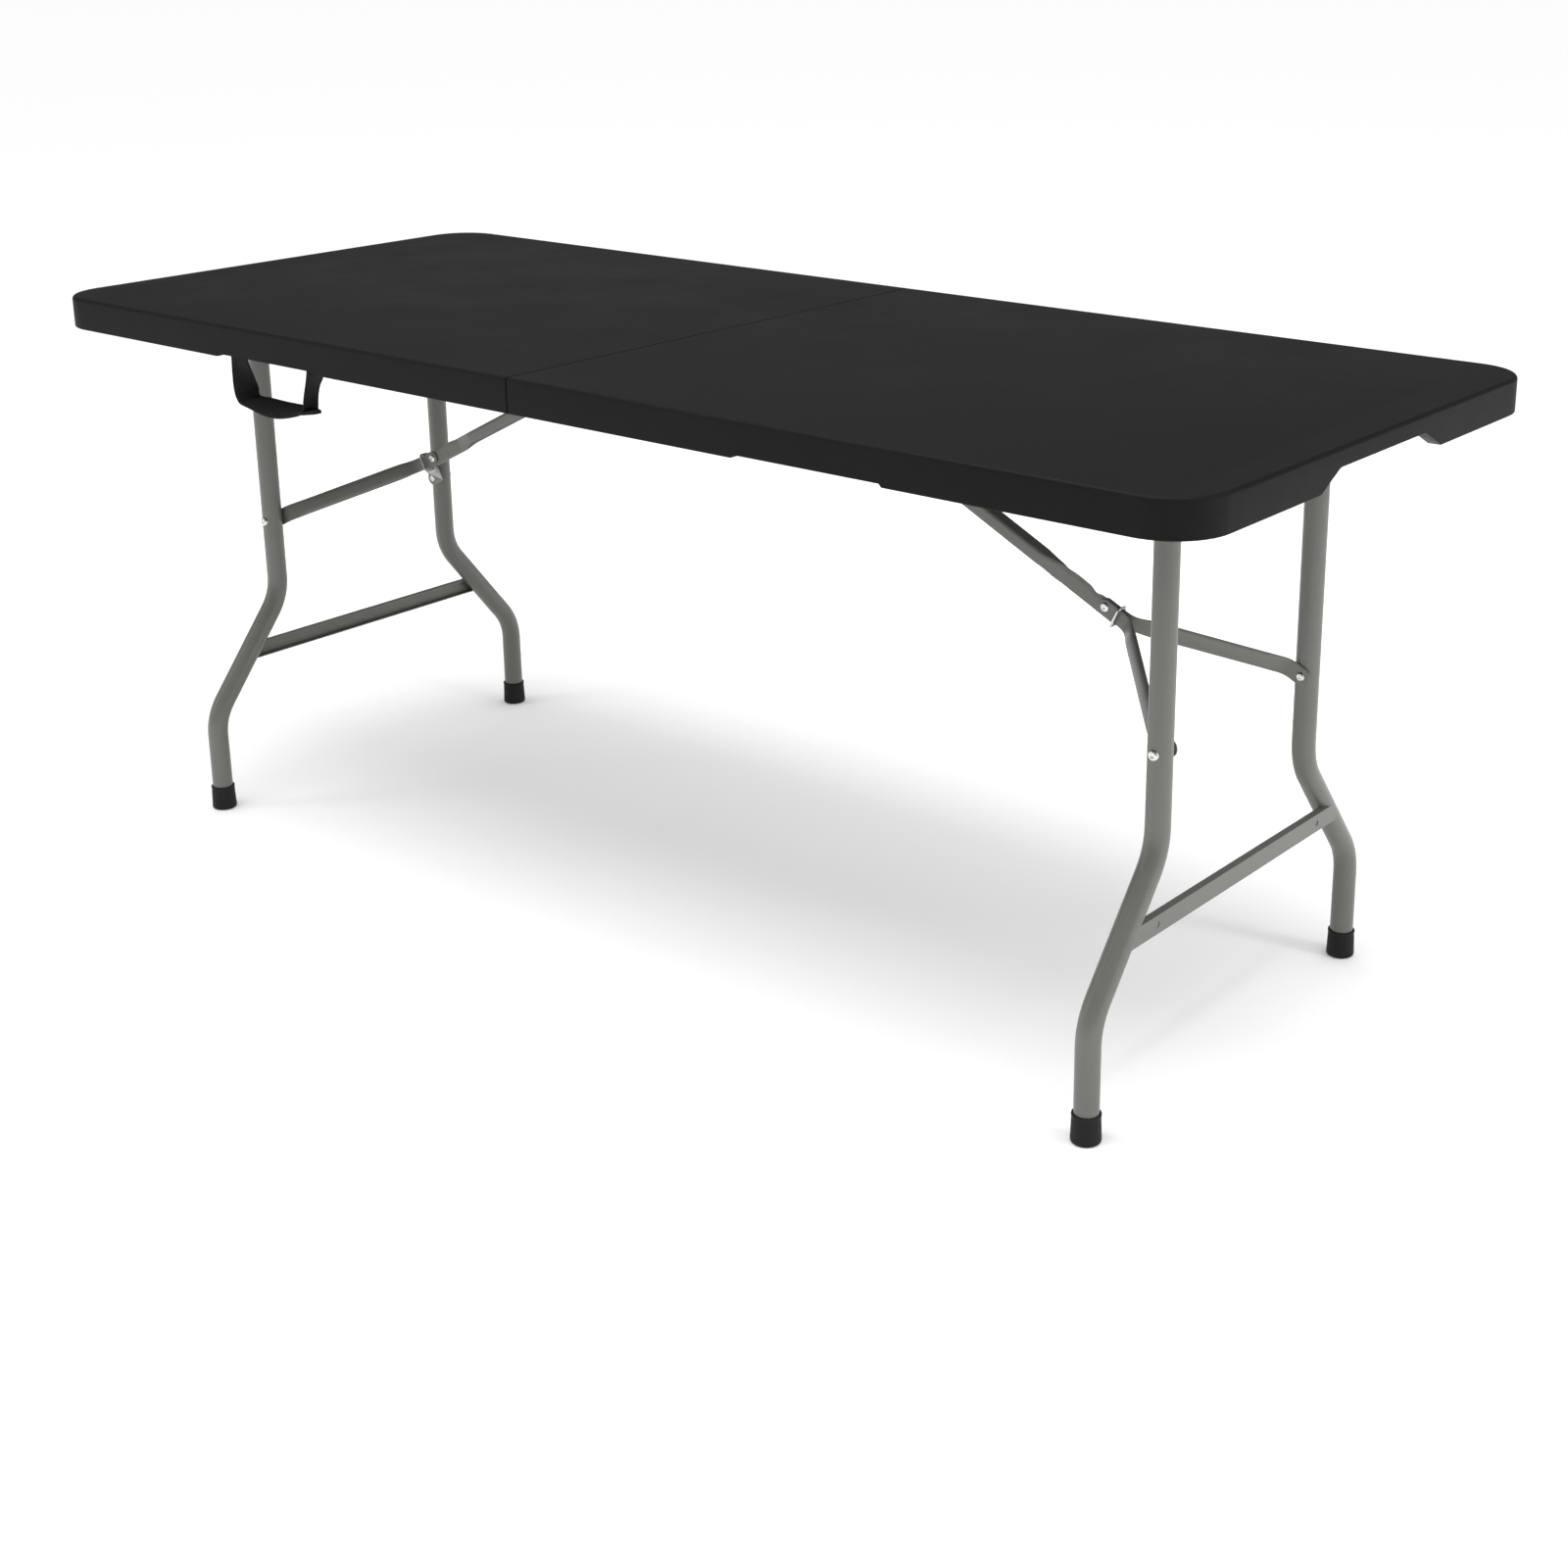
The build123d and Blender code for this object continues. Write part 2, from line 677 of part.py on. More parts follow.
def handle_tabs():
    """The two webbing ends that stay screwed to the inside of the front rim."""
    y = strap_y()
    z0 = hinge_axis_z + strap_thickness / 2 + body_gap
    tabs = []
    for side in (-1, 1):
        x = handle_centre + side * (handle_span - strap_width) / 2
        half = strap_width / 2
        t = strap_thickness / 2
        tab = box(x - half, x + half, y - t, y + t, z0, z0 + handle_tab_height)
        screw_z = z0 + handle_screw_rise
        tab -= rod_y(x, screw_z, screw_diameter / 2 + screw_clearance, y - 5, y + 5)
        tabs.append(tab)
    return tabs


def handle_screws():
    """The two screws through the webbing ends into the rim."""
    z = hinge_axis_z + strap_thickness / 2 + body_gap + handle_screw_rise
    seat = strap_y() + strap_thickness / 2
    screws = []
    for side in (-1, 1):
        x = handle_centre + side * (handle_span - strap_width) / 2
        head = rod_y(x, z, screw_head_diameter / 2, seat, seat + handle_screw_head)
        head = fillet(head.edges().sort_by(Axis.Y)[-1], handle_screw_round)
        shank = rod_y(x, z, screw_diameter / 2, seat - strap_thickness - 2 * screw_depth, seat)
        screws.append(head + shank)
    return screws


def handle_screw_holes():
    """The pilot holes for the handle screws in the rim."""
    z = hinge_axis_z + strap_thickness / 2 + body_gap + handle_screw_rise
    seat = strap_y() + strap_thickness / 2
    holes = []
    for side in (-1, 1):
        x = handle_centre + side * (handle_span - strap_width) / 2
        depth = strap_thickness + 2 * screw_depth + screw_clearance
        holes.append(rod_y(x, z, screw_diameter / 2 + screw_clearance, seat - depth, seat))
    return holes


# ---------------------------------------------------------------- assembly

def write(name, solids):
    """Write one node's solids to its own file."""
    if not isinstance(solids, list):
        solids = [solids]
    solids = [solid for item in solids for solid in item.solids()]
    shape = solids[0] if len(solids) == 1 else Compound(children=solids)
    export_step(shape, f"parts/{name}.step")


def to_left(solids):
    """The same pieces on the left half."""
    if not isinstance(solids, list):
        solids = [solids]
    return [mirror(solid, about=Plane.YZ) for solid in solids]


def main():
    os.makedirs("parts", exist_ok=True)
    half = moulded_half()
    left_half = to_left(half)[0]
    for hole in to_left(handle_screw_holes()):
        left_half -= hole
    front_and_back = {
        "leg_tube": leg_tube(),
        "foot": foot(),
        "rail": rail(),
        "arm": arm(),
    }
    one_each = {
        "pivot_bushes": both_sides(bush()),
        "rail_screws": rail_screws(),
        "brace_bracket": brace_bracket(),
        "bracket_pin": bracket_pin(),
        "bracket_screws": bracket_screws(),
        "hinge_screws": leaf_screws(),
        "pivot_tube": pivot_tube(),
        "crossbar": crossbar(),
        "leg_rivets": both_sides(leg_rivet()),
        "upper_link": upper_link(),
        "knee_rivet": knee_rivet(),
        "arm_rivets": both_sides(arm_rivet()),
        "lock_ring": lock_ring(),
    }
    write("right_panel", half)
    write("left_panel", left_half)
    write("right_hinge_leaves", leaf(0))
    write("left_hinge_leaves", to_left(leaf(1)))
    write("hinge_pins", hinge_pins())
    for name, solids in one_each.items():
        write(f"right_{name}", solids)
        write(f"left_{name}", to_left(solids))
    for name, back in front_and_back.items():
        front = mirror(back, about=Plane.XZ)
        write(f"right_back_{name}", back)
        write(f"right_front_{name}", front)
        write(f"left_back_{name}", to_left(back))
        write(f"left_front_{name}", to_left(front))
    write("carry_handle", to_left(carry_handle()))
    write("handle_tabs", to_left(handle_tabs()))
    write("handle_screws", to_left(handle_screws()))
    print(f"link {link_length:.3f}, arm {arm_length:.3f}, brace angle {brace_angle:.4f}, knee fold {knee_fold:.4f}")
    print(f"knee at x {knee_x:.3f}, z {knee_z:.3f}")


main()
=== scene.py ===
import json
import math

import bmesh
import bpy
from mathutils import Matrix, Vector


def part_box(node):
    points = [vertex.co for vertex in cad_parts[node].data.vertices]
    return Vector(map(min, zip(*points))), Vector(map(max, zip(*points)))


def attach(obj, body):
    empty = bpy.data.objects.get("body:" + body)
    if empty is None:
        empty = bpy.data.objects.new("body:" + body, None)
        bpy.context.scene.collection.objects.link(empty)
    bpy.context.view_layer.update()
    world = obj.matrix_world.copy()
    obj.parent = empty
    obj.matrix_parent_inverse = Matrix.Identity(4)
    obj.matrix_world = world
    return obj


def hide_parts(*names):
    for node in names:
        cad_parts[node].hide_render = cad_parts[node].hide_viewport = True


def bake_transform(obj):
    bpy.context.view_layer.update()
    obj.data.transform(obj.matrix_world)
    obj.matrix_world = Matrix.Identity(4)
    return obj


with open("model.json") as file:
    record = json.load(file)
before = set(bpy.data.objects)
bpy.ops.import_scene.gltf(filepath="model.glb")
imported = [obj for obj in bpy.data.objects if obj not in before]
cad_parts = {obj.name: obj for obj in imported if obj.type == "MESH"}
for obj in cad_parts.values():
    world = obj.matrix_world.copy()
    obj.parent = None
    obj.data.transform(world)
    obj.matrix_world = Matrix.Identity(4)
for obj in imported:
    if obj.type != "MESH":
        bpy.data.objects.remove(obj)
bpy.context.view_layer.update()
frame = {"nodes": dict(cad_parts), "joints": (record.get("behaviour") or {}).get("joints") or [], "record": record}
nodes = frame["nodes"]
scene = bpy.context.scene
mm = 0.001
sides = {"right": 1, "left": -1}
joints = {joint["name"]: joint for joint in frame["joints"]}
print("frame loaded:", len(nodes), "nodes")


# camera, floor and light

camera = {
    "place": (1.9269, -2.1029, 1.2804),
    "aim": (0.2277, 0.0, 0.4357),
    "roll": -0.342,
    "lens": 53.06,
    "shift": (-0.055, -0.1205),
    "sensor": 36,
    "clipEnd": 200,
}
studio = {
    "floorSize": 90.0,
    "floorColor": (0.96, 0.96, 0.96, 1),
    "floorRough": 0.9,
    "floorSpecular": 0.1,
    "skyLight": 1.05,
    "skyGloss": 0.26,
    "skySeen": 1.0,
    "view": "Standard",
}
softboxes = {
    "overhead": {"place": (0.3, -0.5, 3.2), "aim": (0.3, 0, 0.6), "size": (3.2, 2.4), "watts": 92},
    "frontLeft": {"place": (-3.4, -3.2, 2.1), "aim": (0, 0, 0.4), "size": (0.8, 2.4), "watts": 22},
    "rightStrip": {"place": (3.6, 0.7, 1.5), "aim": (0.4, 0, 0.4), "size": (0.6, 2.2), "watts": 30},
}


def aimed(place, aim, roll=0.0):
    back = (Vector(place) - Vector(aim)).normalized()
    right = Vector((0, 0, 1)).cross(back).normalized()
    turn = Matrix((right, back.cross(right), back)).transposed().to_4x4()
    return Matrix.Translation(place) @ turn @ Matrix.Rotation(math.radians(roll), 4, "Z")


def makeCamera():
    data = bpy.data.cameras.new("tableCamera")
    data.sensor_width = camera["sensor"]
    data.lens = camera["lens"]
    data.shift_x, data.shift_y = camera["shift"]
    data.clip_end = camera["clipEnd"]
    seat = bpy.data.objects.new("tableCamera", data)
    scene.collection.objects.link(seat)
    seat.matrix_world = aimed(camera["place"], camera["aim"], camera["roll"])
    scene.camera = seat


def makeSoftboxes():
    for name, box in softboxes.items():
        data = bpy.data.lights.new(name, "AREA")
        data.shape = "RECTANGLE"
        data.size, data.size_y = box["size"]
        data.energy = box["watts"]
        lamp = bpy.data.objects.new(name, data)
        scene.collection.objects.link(lamp)
        lamp.matrix_world = aimed(box["place"], box["aim"])


def makeFloor():
    bm = bmesh.new()
    bmesh.ops.create_grid(bm, x_segments=1, y_segments=1, size=studio["floorSize"] / 2)
    mesh = bpy.data.meshes.new("studioFloor")
    bm.to_mesh(mesh)
    bm.free()
    floor = bpy.data.objects.new("studioFloor", mesh)
    scene.collection.objects.link(floor)
    paint = bpy.data.materials.new("floorPaint")
    paint.use_nodes = True
    shader = paint.node_tree.nodes["Principled BSDF"]
    shader.inputs["Base Color"].default_value = studio["floorColor"]
    shader.inputs["Roughness"].default_value = studio["floorRough"]
    shader.inputs["Specular IOR Level"].default_value = studio["floorSpecular"]
    mesh.materials.append(paint)


def makeSky():
    # one strength as the eye sees it, one in glossy reflections and one as light
    scene.view_settings.view_transform = studio["view"]
    world = bpy.data.worlds.new("studioSky")
    scene.world = world
    world.use_nodes = True
    tree = world.node_tree
    sky = tree.nodes["Background"]
    path = tree.nodes.new("ShaderNodeLightPath")
    gloss = tree.nodes.new("ShaderNodeMix")
    gloss.inputs["A"].default_value = studio["skyLight"]
    gloss.inputs["B"].default_value = studio["skyGloss"]
    seen = tree.nodes.new("ShaderNodeMix")
    seen.inputs["B"].default_value = studio["skySeen"]
    tree.links.new(path.outputs["Is Glossy Ray"], gloss.inputs["Factor"])
    tree.links.new(gloss.outputs["Result"], seen.inputs["A"])
    tree.links.new(path.outputs["Is Camera Ray"], seen.inputs["Factor"])
    tree.links.new(seen.outputs["Result"], sky.inputs["Strength"])
    sky.inputs["Color"].default_value = (1, 1, 1, 1)


makeCamera()
makeSoftboxes()
makeFloor()
makeSky()
print("camera, floor and light ready")


# finishes

def socket(tree, name, side, kind, value=None):
    made = tree.interface.new_socket(name=name, in_out=side, socket_type=kind)
    if value is not None:
        made.default_value = value
    return made


def mathNode(tree, operation, *feeds):
    # each feed is a number or a socket
    made = tree.nodes.new("ShaderNodeMath")
    made.operation = operation
    for number, feed in enumerate(feeds):
        if isinstance(feed, (int, float)):
            made.inputs[number].default_value = feed
        else:
            tree.links.new(feed, made.inputs[number])
    return made.outputs[0]


def makeMottleGroup():
    # broad patches and a fine grain as one tone round 1, and the grain as a height for bump
    group = bpy.data.node_groups.new("mottleAndGrain", "ShaderNodeTree")
    socket(group, "patchScale", "INPUT", "NodeSocketFloat", 6.0)
    socket(group, "grainScale", "INPUT", "NodeSocketFloat", 500.0)
    socket(group, "patchDepth", "INPUT", "NodeSocketFloat", 0.2)
    socket(group, "grainDepth", "INPUT", "NodeSocketFloat", 0.2)
    socket(group, "tone", "OUTPUT", "NodeSocketFloat")
    socket(group, "height", "OUTPUT", "NodeSocketFloat")
    inside = group.nodes.new("NodeGroupInput")
    outside = group.nodes.new("NodeGroupOutput")
    place = group.nodes.new("ShaderNodeTexCoord")
    patch = group.nodes.new("ShaderNodeTexNoise")
    patch.inputs["Detail"].default_value = 5
    patch.inputs["Roughness"].default_value = 0.6
    grain = group.nodes.new("ShaderNodeTexNoise")
    grain.inputs["Detail"].default_value = 3
    grain.inputs["Roughness"].default_value = 0.55
    link = group.links.new
    link(place.outputs["Object"], patch.inputs["Vector"])
    link(place.outputs["Object"], grain.inputs["Vector"])
    link(inside.outputs["patchScale"], patch.inputs["Scale"])
    link(inside.outputs["grainScale"], grain.inputs["Scale"])
    shares = []
    for noise, depth in ((patch, "patchDepth"), (grain, "grainDepth")):
        centred = mathNode(group, "SUBTRACT", noise.outputs["Fac"], 0.5)
        shares.append(mathNode(group, "MULTIPLY", centred, inside.outputs[depth]))
    total = mathNode(group, "ADD", *shares)
    link(mathNode(group, "ADD", total, 1.0), outside.inputs["tone"])
    link(grain.outputs["Fac"], outside.inputs["height"])
    return group


def makeWeaveGroup():
    # ribs crossing on two slants over a piece's own UV map, with painted shade that darkens the low parts of the
    # ribs
    group = bpy.data.node_groups.new("webbingWeave", "ShaderNodeTree")
    socket(group, "ribsAcross", "INPUT", "NodeSocketFloat", 900.0)
    socket(group, "ribsAlong", "INPUT", "NodeSocketFloat", 700.0)
    socket(group, "tone", "OUTPUT", "NodeSocketFloat")
    socket(group, "height", "OUTPUT", "NodeSocketFloat")
    inside = group.nodes.new("NodeGroupInput")
    outside = group.nodes.new("NodeGroupOutput")
    place = group.nodes.new("ShaderNodeUVMap")
    place.uv_map = "strap"
    split = group.nodes.new("ShaderNodeSeparateXYZ")
    link = group.links.new
    link(place.outputs["UV"], split.inputs["Vector"])
    along = mathNode(group, "MULTIPLY", split.outputs["X"], inside.outputs["ribsAlong"])
    across = mathNode(group, "MULTIPLY", split.outputs["Y"], inside.outputs["ribsAcross"])
    leaning = mathNode(group, "SINE", mathNode(group, "ADD", along, across))
    falling = mathNode(group, "SINE", mathNode(group, "SUBTRACT", along, across))
    crossed = mathNode(group, "MULTIPLY", leaning, falling)
    height = mathNode(group, "MULTIPLY_ADD", crossed, 0.5, 0.5)
    link(height, outside.inputs["height"])
    # tone is painted shade: darker where the weave's height is low
    link(mathNode(group, "MULTIPLY_ADD", height, 0.5, 0.75), outside.inputs["tone"])
    return group


mottle = makeMottleGroup()
weave = makeWeaveGroup()

finishes = {
    "hdpe": {"color": (0.0072, 0.0072, 0.0074), "rough": 0.48, "specular": 0.07, "metal": 0.0,
             "patchScale": 7.0, "patchDepth": 0.55, "grainScale": 620.0, "grainDepth": 0.25,
             "bump": 0.22, "bumpDepth": 0.0004},
    "powder": {"color": (0.108, 0.110, 0.096), "rough": 0.34, "specular": 0.5, "metal": 0.0,
               "patchScale": 22.0, "patchDepth": 0.16, "grainScale": 900.0, "grainDepth": 0.22,
               "bump": 0.16, "bumpDepth": 0.0003},
    "rubber": {"color": (0.0085, 0.0085, 0.0088), "rough": 0.6, "specular": 0.2, "metal": 0.0,
               "patchScale": 60.0, "patchDepth": 0.5, "grainScale": 1400.0, "grainDepth": 0.5,
               "bump": 0.3, "bumpDepth": 0.0003},
    "nylon": {"color": (0.03, 0.03, 0.031), "rough": 0.4, "specular": 0.5, "metal": 0.0,
              "patchScale": 80.0, "patchDepth": 0.3, "grainScale": 900.0, "grainDepth": 0.2,
              "bump": 0.1, "bumpDepth": 0.0002},
    "zinc": {"color": (0.62, 0.62, 0.60), "rough": 0.30, "specular": 0.5, "metal": 1.0,
             "patchScale": 160.0, "patchDepth": 0.35, "grainScale": 1600.0, "grainDepth": 0.3,
             "bump": 0.15, "bumpDepth": 0.0002},
}


webbing = {
    "color": (0.0065, 0.0065, 0.0068),
    "specular": 0.12,
    "rough": 0.62,
    "sheen": 0.04,
    "sheenRough": 0.5,
    "bump": 0.8,
    "bumpDepth": 0.0006,
}


def patternPaint(name, group, values):
    # a material whose tone and bump come from a node group
    paint = bpy.data.materials.new(name)
    paint.use_nodes = True
    tree = paint.node_tree
    shader = tree.nodes["Principled BSDF"]
    shader.inputs["Specular IOR Level"].default_value = values["specular"]
    pattern = tree.nodes.new("ShaderNodeGroup")
    pattern.node_tree = group
    shade = tree.nodes.new("ShaderNodeVectorMath")
    shade.operation = "SCALE"
    shade.inputs[0].default_value = values["color"]
    tree.links.new(pattern.outputs["tone"], shade.inputs["Scale"])
    tree.links.new(shade.outputs["Vector"], shader.inputs["Base Color"])
    bump = tree.nodes.new("ShaderNodeBump")
    bump.inputs["Strength"].default_value = values["bump"]
    bump.inputs["Distance"].default_value = values["bumpDepth"]
    tree.links.new(pattern.outputs["height"], bump.inputs["Height"])
    tree.links.new(bump.outputs["Normal"], shader.inputs["Normal"])
    return paint, shader, pattern


def makeFinish(name, values):
    paint, shader, pattern = patternPaint(name, mottle, values)
    tree = paint.node_tree
    shader.inputs["Metallic"].default_value = values["metal"]
    for key in ("patchScale", "grainScale", "patchDepth", "grainDepth"):
        pattern.inputs[key].default_value = values[key]
    rough = mathNode(tree, "MULTIPLY", pattern.outputs["tone"], values["rough"])
    tree.links.new(rough, shader.inputs["Roughness"])
    return paint


def makeWebbing(name, values):
    paint, shader = patternPaint(name, weave, values)[:2]
    shader.inputs["Roughness"].default_value = values["rough"]
    shader.inputs["Sheen Weight"].default_value = values["sheen"]
    shader.inputs["Sheen Roughness"].default_value = values["sheenRough"]
    return paint


paints = {name: makeFinish(name + "Finish", values) for name, values in finishes.items()}
paints["webbing"] = makeWebbing("webbingFinish", webbing)
paintOfSlot = {
    "hdpe": "hdpe",
    "powder_coat": "powder",
    "rail_coat": "powder",
    "rubber_black": "rubber",
    "nylon": "nylon",
    "zinc": "zinc",
    "webbing": "webbing",
}
slotOfNode = {part["node"]: part["material_slot"] for part in frame["record"]["subparts"]}
print("finishes ready")


# shared makers

def addPiece(name, bm, body, paint, replaced=(), sharp=35, turned=True):
    if turned:
        bmesh.ops.recalc_face_normals(bm, faces=bm.faces)
    mesh = bpy.data.meshes.new(name)
    bm.to_mesh(mesh)
    bm.free()
    mesh.polygons.foreach_set("use_smooth", [True] * len(mesh.polygons))
    mesh.set_sharp_from_angle(angle=math.radians(sharp))
    mesh.materials.append(paints[paint])
    piece = bpy.data.objects.new(name, mesh)
    scene.collection.objects.link(piece)
    if body:
        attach(piece, body)
    if replaced:
        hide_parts(*replaced)
    return piece


def toSide(bm, side):
    # everything is shaped on the right half and mirrored for the left one
    if side < 0:
        bmesh.ops.scale(bm, vec=(-1, 1, 1), verts=bm.verts)
        bmesh.ops.reverse_faces(bm, faces=bm.faces)


def blendSteps(share):
    share = min(max(share, 0.0), 1.0)
    return share * share * (3 - 2 * share)


def alongTable(table, x):
    # smooth value at x from a short table of (x, value)
    if x <= table[0][0]:
        return table[0][1]
    for (x0, v0), (x1, v1) in zip(table, table[1:]):
        if x <= x1:
            return v0 + (v1 - v0) * blendSteps((x - x0) / (x1 - x0))
    return table[-1][1]


def loft(bm, stations, segments):
    # stations: (matrix, half thickness, half height, squareness), unit circles bridged one to the next
    rings = []
    for matrix, thick, high, square in stations:
        made = bmesh.ops.create_circle(bm, cap_ends=False, segments=segments, radius=1.0)["verts"]
        for v in made:
            x = math.copysign(abs(v.co.x) ** square, v.co.x)
            y = math.copysign(abs(v.co.y) ** square, v.co.y)
            v.co = matrix @ Vector((0, x * thick, y * high))
        rings.append(list({e for v in made for e in v.link_edges}))
    for near, far in zip(rings, rings[1:]):
        bmesh.ops.bridge_loops(bm, edges=near + far)
    for ring in (rings[0], rings[-1]):
        bmesh.ops.edgeloop_fill(bm, edges=ring)


def lathe(bm, profile, matrix, steps=32):
    # profile of (radius, height) spun about the local Z; tagged faces are earlier ones
    verts = [bm.verts.new((r * mm, 0, h * mm)) for r, h in profile]
    edges = [bm.edges.new(pair) for pair in zip(verts, verts[1:])]
    bmesh.ops.spin(bm, geom=verts + edges, cent=(0, 0, 0), axis=(0, 0, 1),
                   angle=math.tau, steps=steps, use_merge=True)
    made = list({v for f in bm.faces for v in f.verts if not f.tag})
    bmesh.ops.remove_doubles(bm, verts=made, dist=1e-6)
    made = list({v for f in bm.faces if not f.tag for v in f.verts})
    bmesh.ops.transform(bm, matrix=matrix, verts=made)
    for f in bm.faces:
        f.tag = True


def facing(place, direction):
    # a frame at place whose Z points along direction
    z = Vector(direction).normalized()
    return Matrix.Translation(place) @ z.to_track_quat("Z", "Y").to_matrix().to_4x4()


# where the moving parts turn, from the record's joints

kneePlace = Vector(joints["right_knee_fold"]["pos_m"])
braceTurn = math.radians(joints["right_brace_lift"]["range_deg"][1])
braceStart = Vector(joints["right_brace_lift"]["pos_m"])
handlePlace = Vector(joints["handle_swing"]["pos_m"])
linkFrame = Matrix.Translation(braceStart) @ Matrix.Rotation(braceTurn, 4, "Y")
armFrame = Matrix.Translation(kneePlace) @ Matrix.Rotation(braceTurn, 4, "Y")
linkRun = (kneePlace - braceStart).length / mm


# upper links: an inverted channel pinched into one plate at the knee

link = {
    "halfWidth": 8.4,
    "top": 7.2,
    "bottom": -8.0,
    "cornerRound": 0.55,
    "sheet": 1.2,
    "tail": 8.0,
    "plateReach": 64.0,
    "pinchLength": 34.0,
    "overlap": 22.0,
    "noseCorner": 4.0,
    "plateBottom": -12.2,
    "webShare": 0.43,
    "webColumns": (0.05, 0.15, 0.27),
    "flangeColumns": (0.6, 0.72, 0.86, 1.0),
    "crease": 0.06,
    # upper edge of the plate, from the knee
    "edge": ((-64, 8.3), (-46, 9.6), (-30, 9.2), (-18, 6.1), (-9, 8.8), (12, 8.6), (22, 6.2)),
    "straightRows": (0, 60, 130, 200, 270, 340, 400),
    "fineStep": 2.5,
}


def linkPoint(x, t):
    # x along the link from its pin, t round the section from one lower edge (-1) to the other (1)
    side = math.copysign(1, t)
    reach = abs(t)
    web = link["webShare"]
    beyond = x - linkRun
    pinch = min(max((beyond + link["plateReach"] + link["pinchLength"]) / link["pinchLength"], 0), 1)
    wide = link["halfWidth"] + (link["sheet"] / 2 - link["halfWidth"]) * pinch
    top, low = link["top"], link["bottom"]
    if pinch > 0:
        rise = blendSteps(pinch)
        top += (alongTable(link["edge"], beyond) - top) * rise
        low += (link["plateBottom"] - low) * rise
    if beyond > link["overlap"] - link["noseCorner"]:
        low += beyond - link["overlap"] + link["noseCorner"]
    if reach < web:
        y, z = wide * reach / web, top
    else:
        y, z = wide, top + (low - top) * (reach - web) / (1 - web)
    if abs(reach - web) < 1e-6:
        corner = min(link["cornerRound"], wide / 2)
        y -= corner
        z -= corner
    return Vector((x, side * y, z)) * mm


def makeLinks():
    web = link["webShare"]
    crease = [web - link["crease"], web, web + link["crease"]]
    half = [0.0, *link["webColumns"], *crease, *link["flangeColumns"]]
    columns = [-t for t in reversed(half[1:])] + half
    rows = [-link["tail"]] + list(link["straightRows"])
    fine = linkRun - link["plateReach"] - link["pinchLength"]
    tip = linkRun + link["overlap"]
    while fine < tip:
        rows.append(fine)
        fine += link["fineStep"]
    rows.append(tip)
    for name, side in sides.items():
        bm = bmesh.new()
        bmesh.ops.create_grid(bm, x_segments=len(rows) - 1, y_segments=len(columns) - 1, size=1)
        for v in bm.verts:
            x = rows[round((v.co.x + 1) / 2 * (len(rows) - 1))]
            t = columns[round((v.co.y + 1) / 2 * (len(columns) - 1))]
            v.co = linkFrame @ linkPoint(x, t if t else 1e-9)
        toSide(bm, side)
        piece = addPiece(name + "UpperLink", bm, name + "_upper_brace", "powder",
                         [name + "_upper_link"], sharp=50, turned=False)
        wall = piece.modifiers.new("sheetThickness", "SOLIDIFY")
        wall.thickness = link["sheet"] * mm
        wall.offset = 0
        wall.use_even_offset = True
        wall.thickness_clamp = 1


makeLinks()
print("upper links ready")


# fork arms: flat at the knee, an oval tube on the slant, flat again on the leg

armSizes = {
    "neckY": 2.7,
    "endY": 142.5,
    "neckRun": 33.0,
    "reach": 193.386,  # knee to leg rivet
    "endFlat": 19.0,
    "flat": 1.2,
    "tube": 3.6,
    "neckHigh": 9.6,
    "tubeHigh": 10.9,
    "endHigh": 11.2,
    "bendRound": 9.0,
    "flatSquare": 0.42,
    "tubeSquare": 0.8,
    "headDegrees": (8, 25, 42, 60, 76, 90),
    "headThin": 0.28,
    "neckFlat": 14.0,
    "bendShares": (0, 0.25, 0.5, 0.75, 1),
    # distance from the bend, and share of the way from flat to tube
    "neckBlend": ((15, 0.2), (21, 0.6), (28, 0.9), (36, 1.0)),
    "endBlend": ((34, 1.0), (26, 0.85), (19, 0.5), (13, 0.12)),
    "segments": 28,
}


def headStation(degree, x, y, high, way):
    # one section of an arm's rounded end, which thins towards its tip
    turn = math.radians(degree)
    thin = armSizes["headThin"]
    thick = armSizes["flat"] * (1 - thin + thin * math.sin(turn))
    x += way * high * math.cos(turn)
    return x, y, 0, thick, high * math.sin(turn), armSizes["flatSquare"]


def tubeStation(spot, lean, high, full):
    # one section between flat (0) and full tube (1)
    a = armSizes
    thick = a["flat"] + (a["tube"] - a["flat"]) * full
    high += (a["tubeHigh"] - high) * full
    square = a["flatSquare"] + (a["tubeSquare"] - a["flatSquare"]) * full
    return spot.x, spot.y, lean, thick, high, square


def armStations():
    # x, y, lean, half thickness, half height and squareness from the knee to the leg
    a = armSizes
    bend = a["reach"] - a["endFlat"]
    start = Vector((a["neckRun"], a["neckY"]))
    end = Vector((bend, a["endY"]))
    slant = (end - start).normalized()
    lean = math.atan2(slant.y, slant.x)
    run = (end - start).length
    r = a["bendRound"]
    plan = [headStation(degree, 0, a["neckY"], a["neckHigh"], -1) for degree in a["headDegrees"]]
    plan.append((a["neckFlat"], a["neckY"], 0, a["flat"], a["neckHigh"], a["flatSquare"]))
    for share in a["bendShares"]:
        back = Vector((a["neckRun"] - r * (1 - share), a["neckY"]))
        spot = back.lerp(start + slant * r * share, share)
        plan.append((spot.x, spot.y, lean * share, a["flat"], a["neckHigh"], a["flatSquare"]))
    for along, full in a["neckBlend"]:
        plan.append(tubeStation(start + slant * along, lean, a["neckHigh"], full))
    for back, full in ((run / 2, 1.0), *a["endBlend"]):
        plan.append(tubeStation(start + slant * (run - back), lean, a["endHigh"], full))
    for share in a["bendShares"]:
        back = end - slant * r * (1 - share)
        spot = back.lerp(Vector((bend + r * share, a["endY"])), share)
        plan.append((spot.x, spot.y, lean * (1 - share), a["flat"], a["endHigh"], a["flatSquare"]))
    for degree in reversed(a["headDegrees"]):
        plan.append(headStation(degree, a["reach"], a["endY"], a["endHigh"], 1))
    return plan


